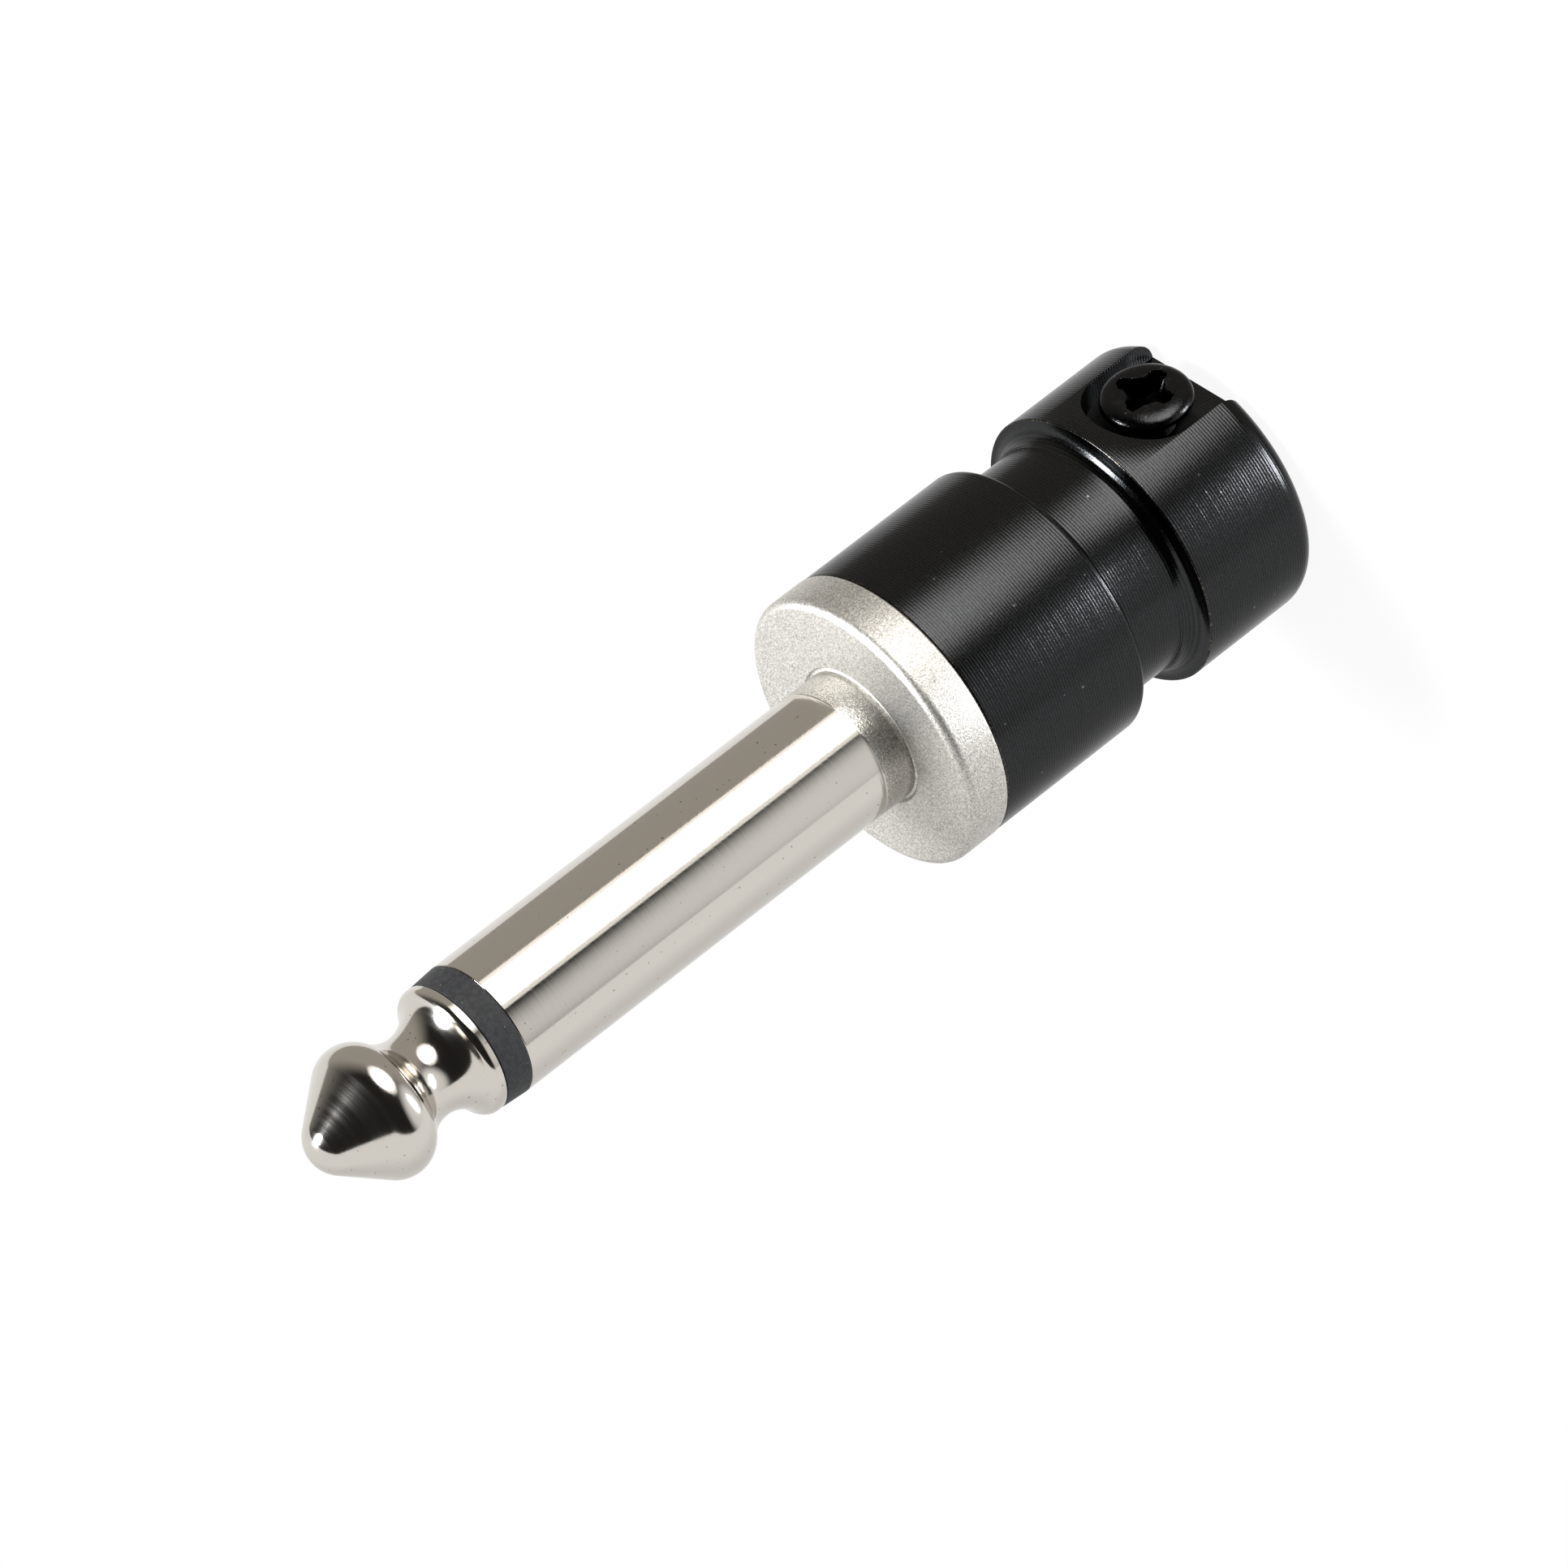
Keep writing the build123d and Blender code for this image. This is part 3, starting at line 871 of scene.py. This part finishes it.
class PLUG_OT_tip(Operator):
    """Turn the tip contact and its rod."""

    bl_idname = "plug.tip"
    bl_label = "Tip contact"

    def execute(self, context):
        size = sizes("plug_tip")
        finish = polished_nickel()
        rod_shoulder_z = ROD_END_Z + size.rod_thread_length
        points = self.contact_form(size)
        points += outline(
            [
                (size.shoulder, TIP_Z + size.shoulder_break, 0),
                (size.shoulder - size.shoulder_break, TIP_Z, 0),
                (size.rod, TIP_Z, 0),
                (size.rod, rod_shoulder_z, 0),
                *rows(size.rod_thread, rod_shoulder_z, ROD_END_Z, ROD_PITCH),
                (0, ROD_END_Z, 0),
            ]
        )
        piece = spun("nickel_tip", points, TIP_SEGMENTS, closed=False)
        stretch = (ROD_END_Z, rod_shoulder_z)
        cut_thread(piece, finish, size.rod_thread, *stretch, ROD_PITCH, size.rod_thread_depth)
        dress(piece, finish, "plug", "tip_contact")
        return {"FINISHED"}

    def contact_form(self, size):
        """Outline from the nose over the cone, the ball and the neck to the shoulder."""
        nose_z = TIP_END_Z - size.nose_round
        ball = (BALL_RADIUS - size.ball_round, TIP_Z + size.ball_from_ring)
        # The cone touches the nose's circle and the ball's circle
        apart = hypot(ball[0], nose_z - ball[1])
        slope = atan2(ball[0], nose_z - ball[1]) - asin((size.nose_round - size.ball_round) / apart)
        # The neck's circle touches the ball's circle
        rise = size.ball_from_ring - size.neck_from_ring
        drop = size.neck - ball[0]
        neck_round = (rise**2 + drop**2 - size.ball_round**2) / (2 * (size.ball_round - drop))
        neck = (size.neck + neck_round, TIP_Z + size.neck_from_ring)
        meet = atan2(rise, neck[0] - ball[0])
        # The shoulder's round touches the neck's circle
        reach = neck_round + size.shoulder_round
        flare = acos((neck[0] - size.shoulder + size.shoulder_round) / reach)
        shoulder = (size.shoulder - size.shoulder_round, neck[1] - reach * sin(flare))
        arcs = [
            ((0, nose_z), size.nose_round, pi / 2, slope),
            (ball, size.ball_round, slope, -meet),
            (neck, neck_round, pi - meet, pi + flare),
            (shoulder, size.shoulder_round, flare, 0.0),
        ]
        points = []
        for (r, z), radius, start, end in arcs:
            steps = round(abs(end - start) / (ARC_STEP / 2.5))
            for i in range(steps + 1):
                turn = start + (end - start) * i / steps
                points.append((r + radius * cos(turn), z + radius * sin(turn), False))
        points[0] = (0, TIP_END_Z, False)
        # Arcs that touch share a point
        return points[:1] + [b for a, b in zip(points, points[1:]) if dist(a, b) > TOUCHING]


class PLUG_OT_ring(Operator):
    """Turn the plastic ring behind the tip."""

    bl_idname = "plug.ring"
    bl_label = "Insulating ring"

    def execute(self, context):
        size = sizes("plug_tip")
        points = outline(
            [
                (size.ring_bore, RING_SPIGOT_Z, 0),
                (size.ring_spigot, RING_SPIGOT_Z, 0),
                (size.ring_spigot, RING_Z, 0),
                (SHAFT_RADIUS, RING_Z, size.ring_edge),
                (size.shoulder, TIP_Z, size.ring_edge),
                (size.ring_bore, TIP_Z, 0),
            ]
        )
        piece = spun("plastic_ring", points, TIP_SEGMENTS)
        dress(piece, ring_plastic(), "plug", "tip_insulator")
        return {"FINISHED"}


class PLUG_OT_screw(Operator):
    """Turn the clamp screw, cut its thread and its worn cross recess, and set it in the slot."""

    bl_idname = "plug.screw"
    bl_label = "Clamp screw"

    def execute(self, context):
        size = sizes("plug_screw")
        finish = black_oxide()
        under = SCREW_TOP - size.head_thickness
        thread = (SCREW_POINT + size.point, under - size.thread_margin)
        points = outline(
            [
                (0, SCREW_POINT, 0),
                (size.shank - size.point, SCREW_POINT, 0),
                *rows(size.shank, *thread, size.pitch),
                (size.shank, under, size.under_round),
                (SCREW_HEAD_RADIUS, under, size.lower_edge),
                *self.head_form(size),
                (0, SCREW_TOP, 0),
            ]
        )
        piece = spun("clamp_screw_black", points, SCREW_SEGMENTS, closed=False)
        cut_thread(piece, finish, size.shank, *thread, size.pitch, size.thread_depth)
        cut(piece, self.recess_cutter(size))
        middle = 1.5 * size.recess_reach

        def on_recess(place):
            return place.z > SCREW_TOP - size.head_round and hypot(place.x, place.y) < middle

        piece = worn_edges(piece, on_recess, size.recess_edge)
        # Upright screw to its place in the slot, its head facing -Y
        piece.data.transform(Matrix.Translation((0, 0, SCREW_Z)) @ Matrix.Rotation(pi / 2, 4, "X"))
        dress(piece, finish, "screw", "clamp_screw")
        return {"FINISHED"}

    def head_form(self, size):
        """Quarter of an ellipse from the head's side to its top."""
        turns = [pi / 2 * i / 14 for i in range(15)]
        flat = SCREW_HEAD_RADIUS - size.head_spread
        side = SCREW_TOP - size.head_round
        return [
            (flat + size.head_spread * cos(t), side + size.head_round * sin(t), 0) for t in turns
        ]

    def recess_cutter(self, size):
        """Solid of the cross recess: four rounded, uneven arms that narrow towards the bottom."""
        half = size.recess_arm / 2
        end = size.recess_reach - half
        count = 160
        # The wear's waves round the outline: share of the reach, waves in a turn, start
        waves = ((0.030, 3, 0.7), (0.030, 11, 2.1), (0.015, 23, 0.0))
        loop = []
        for i in range(count):
            turn = 2 * pi * i / count
            # Angle from the nearest arm, then the distance to its side or its round end
            off = abs((turn + pi / 4) % (pi / 2) - pi / 4)
            side = half / max(sin(off), 1e-6)
            if side * cos(off) > end:
                side = end * cos(off) + sqrt(half**2 - (end * sin(off)) ** 2)
            reach = (side**6 + size.recess_core**6) ** (1 / 6)
            reach *= 1 + sum(share * sin(often * turn + start) for share, often, start in waves)
            turned = turn + size.recess_turn
            loop.append((reach * cos(turned), reach * sin(turned)))
        depths = ((-0.2 * MM, 1.02), (0.50 * MM, 0.96), (size.recess_depth, 0.70))
        levels = [[(s * x, s * y, SCREW_TOP - depth) for x, y in loop] for depth, s in depths]
        return prism("recess", levels)


class PLUG_OT_inner_pieces(Operator):
    """Give the hidden insulators and the spike their finishes."""

    bl_idname = "plug.inner_pieces"
    bl_label = "Inner pieces"

    def execute(self, context):
        plastic = inner_plastic()
        finishes = {
            "rod_insulator": plastic,
            "rear_insulator": plastic,
            "contact_spike": turned_brass(),
        }
        for name, finish in finishes.items():
            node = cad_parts[name]
            for slot in node.material_slots:
                slot.link = "OBJECT"
                slot.material = finish
        return {"FINISHED"}


class PLUG_OT_studio(Operator):
    """Set up the floor, the cards, the lamps, the surroundings and the camera."""

    bl_idname = "plug.studio"
    bl_label = "Studio"

    def execute(self, context):
        size = sizes("plug_studio")
        camera = self.camera(size)
        # The light comes from the side that the screw faces: that side is the studio's top
        right = camera.matrix_world.to_3x3().col[0]
        up = (Vector((0, 0, 1)).cross(right)).normalized()
        if up.dot(Vector((0, -1, 0))) < 0:
            up = -up
        ahead = up.cross(right)
        self.axes = Matrix((right, ahead, up)).transposed()
        self.floor(size)
        self.card(size)
        self.lamps(size)
        self.surroundings(size)
        context.scene.view_settings.view_transform = "Standard"
        return {"FINISHED"}

    def camera(self, size):
        """Camera at the photograph's angle, turned about its view as the photograph was."""
        aim = Vector(size.aim)
        level = cos(size.elevation)
        back = Vector((-sin(size.azimuth) * level, -cos(size.azimuth) * level, sin(size.elevation)))
        side = Vector((0, 0, 1)).cross(back).normalized()
        above = back.cross(side)
        up = above * cos(size.roll) + side * sin(size.roll)
        right = up.cross(back)
        lens = bpy.data.cameras.new("camera")
        lens.lens = size.lens
        made = placed("camera", lens)
        made.matrix_world = turned_to(aim + back * size.distance, right, up, back)
        bpy.context.scene.camera = made
        bpy.context.view_layer.update()
        return made

    def direction(self, azimuth, elevation):
        """Direction in the studio: azimuth from ahead to the right, elevation from level."""
        a = radians(azimuth)
        e = radians(elevation)
        return self.axes @ Vector((sin(a) * cos(e), cos(a) * cos(e), sin(e)))

    def lamps(self, size):
        """Large soft lamp with a bright middle over the plug, and a narrow lamp on each side."""
        plan = [
            ("top_rim", 43, 76, 1.0, 0.63, 0.54, size.top_rim),
            ("top_lamp", 43, 76, 0.98, 0.44, 0.49, size.top_lamp),
            ("top_core", 43, 76, 0.96, 0.24, 0.39, size.top_core),
            ("right_lamp", 84, 18, 1.0, 0.13, 0.28, size.right_lamp),
            ("left_lamp", -109, 10, 1.0, 0.18, 0.36, size.left_lamp),
        ]
        for name, azimuth, elevation, share, width, height, radiance in plan:
            lamp = bpy.data.lights.new(name, "AREA")
            lamp.shape = "ELLIPSE"
            lamp.size = width
            lamp.size_y = height
            lamp.energy = radiance * width * height * pi**2 / 4
            lamp.color = (1.0, 0.985, 0.96) if name.startswith("top") else (0.94, 0.97, 1.0)
            towards = self.direction(azimuth, elevation)
            side = self.axes.col[2].cross(towards).normalized()
            place = Vector(size.aim) + towards * share * size.room
            made = placed(name, lamp)
            made.matrix_world = turned_to(place, side, towards.cross(side), towards)

    def floor(self, size):
        """Round white floor under the tail, whose shadow fades out before its rim."""
        build = bmesh.new()
        bmesh.ops.create_circle(build, cap_ends=True, segments=96, radius=size.floor_radius)
        piece = finish_mesh(build, "floor")
        finish, tree, shader, _ = material("white_floor")
        feed(tree, shader, {"Base Color": (0.9, 0.9, 0.9, 1.0), "Roughness": 0.9})
        reach = measure(tree, "LENGTH", own_place(tree))
        white = ramp(tree, reach, 0.1 * size.shadow_reach, size.shadow_reach, 0.92, 1.0)
        share = times(tree, white, self.seen(tree))
        glow = put(tree, "ShaderNodeEmission", {"Strength": 1.0})
        mix = put(tree, "ShaderNodeMixShader", {0: share, 1: shader.outputs[0], 2: glow.outputs[0]})
        feed(tree, tree.nodes["Material Output"], {"Surface": mix.outputs[0]})
        piece.data.materials.append(finish)
        piece.visible_glossy = False
        piece.visible_shadow = False

    def seen(self, tree):
        """Factor that is 1 where the camera sees, straight or through a reflection or glass."""
        path = tree.nodes.new("ShaderNodeLightPath").outputs
        direct = calc(tree, "MAXIMUM", path["Is Camera Ray"], path["Is Glossy Ray"])
        return calc(tree, "MAXIMUM", direct, path["Is Transmission Ray"])

    def card(self, size):
        """Curved card, grey ahead and dark by the camera, that only metal and gloss show."""
        build = bmesh.new()
        bmesh.ops.create_uvsphere(build, u_segments=64, v_segments=48, radius=2 * size.room)
        bmesh.ops.transform(build, matrix=self.axes.to_4x4(), verts=build.verts)
        # The table's far edge shows lower ahead than behind
        edge = self.axes @ Vector((0, 0.10, 1))
        everything = [*build.verts, *build.edges, *build.faces]
        low = edge.normalized() * -0.18 * size.room
        bmesh.ops.bisect_plane(
            build, geom=everything, plane_co=low, plane_no=edge, clear_inner=True
        )
        piece = finish_mesh(build, "studio_card")
        finish, tree, shader, _ = material("studio_card")
        tree.nodes.remove(shader)
        ahead = self.towards(tree, self.axes.col[1])
        grey = ramp(tree, ahead, 0.0, 0.70, size.card_back, size.card_front)
        beside = self.towards(tree, self.direction(91, 15))
        soft = ramp(tree, beside, 0.72, 0.95, 0.0, size.card_glow)
        glowing = calc(tree, "GREATER_THAN", soft, grey)
        tint = mixed(tree, glowing, (1.0, 0.95, 0.87), (1.0, 1.0, 1.0))
        level = calc(tree, "MAXIMUM", grey, soft)
        glow = put(tree, "ShaderNodeEmission", {"Color": tint, "Strength": level})
        feed(tree, tree.nodes["Material Output"], {"Surface": glow.outputs[0]})
        piece.data.materials.append(finish)
        piece.visible_camera = False
        piece.visible_diffuse = False
        piece.visible_shadow = False

    def towards(self, tree, direction):
        """How far a place on the card, seen from the plug, lies towards a direction."""
        unit = put(tree, "ShaderNodeVectorMath", {0: own_place(tree)}, operation="NORMALIZE")
        return measure(tree, "DOT_PRODUCT", unit.outputs[0], direction)

    def surroundings(self, size):
        """White surroundings, at a lower strength for what they light."""
        world = bpy.data.worlds.new("surroundings")
        world.use_nodes = True
        tree = world.node_tree
        path = tree.nodes.new("ShaderNodeLightPath").outputs
        around = put(tree, "ShaderNodeTexCoord").outputs["Generated"]
        down = measure(tree, "DOT_PRODUCT", around, self.direction(60, -78))
        # Painted shadow of the plug: the table that the gloss shows is darker below it
        table = ramp(tree, down, 0.5, 1.0, size.table, size.table * size.table_near)
        gloss = times(tree, path["Is Glossy Ray"], table)
        seen = calc(tree, "MAXIMUM", path["Is Camera Ray"], path["Is Transmission Ray"])
        lit = times(tree, path["Is Diffuse Ray"], size.ambient)
        most = calc(tree, "MAXIMUM", calc(tree, "MAXIMUM", gloss, seen), lit)
        feed(tree, tree.nodes["Background"], {"Color": (1.0, 1.0, 1.0, 1.0), "Strength": most})
        bpy.context.scene.world = world


class PLUG_PT_pieces(Panel):
    """Lists the plug's pieces, sizes and finishes."""

    bl_idname = "PLUG_PT_pieces"
    bl_label = "Jack Plug"
    bl_space_type = "VIEW_3D"
    bl_region_type = "UI"
    bl_category = "Jack Plug"

    def draw(self, context):
        for step in STEPS:
            self.layout.operator(step.bl_idname)
        for name, kind in GROUPS.items():
            column = self.layout.column()
            column.label(text=kind.__doc__.split(".")[0])
            for prop in kind.__annotations__:
                column.prop(getattr(context.scene, name), prop)


GROUPS = {
    "plug_housing": HousingSizes,
    "plug_sleeve": SleeveSizes,
    "plug_tip": TipSizes,
    "plug_screw": ScrewSizes,
    "plug_finishes": Finishes,
    "plug_studio": StudioSettings,
}
STEPS = (
    PLUG_OT_housing,
    PLUG_OT_sleeve,
    PLUG_OT_tip,
    PLUG_OT_ring,
    PLUG_OT_screw,
    PLUG_OT_inner_pieces,
    PLUG_OT_studio,
)


def register():
    for kind in (*GROUPS.values(), *STEPS, PLUG_PT_pieces):
        bpy.utils.register_class(kind)
    for name, kind in GROUPS.items():
        setattr(bpy.types.Scene, name, PointerProperty(type=kind))


def unregister():
    for name in GROUPS:
        delattr(bpy.types.Scene, name)
    for kind in reversed((*GROUPS.values(), *STEPS, PLUG_PT_pieces)):
        bpy.utils.unregister_class(kind)


def main():
    register()
    bpy.ops.plug.housing()
    bpy.ops.plug.sleeve()
    bpy.ops.plug.tip()
    bpy.ops.plug.ring()
    bpy.ops.plug.screw()
    bpy.ops.plug.inner_pieces()
    bpy.ops.plug.studio()


if __name__ == "__main__":
    main()
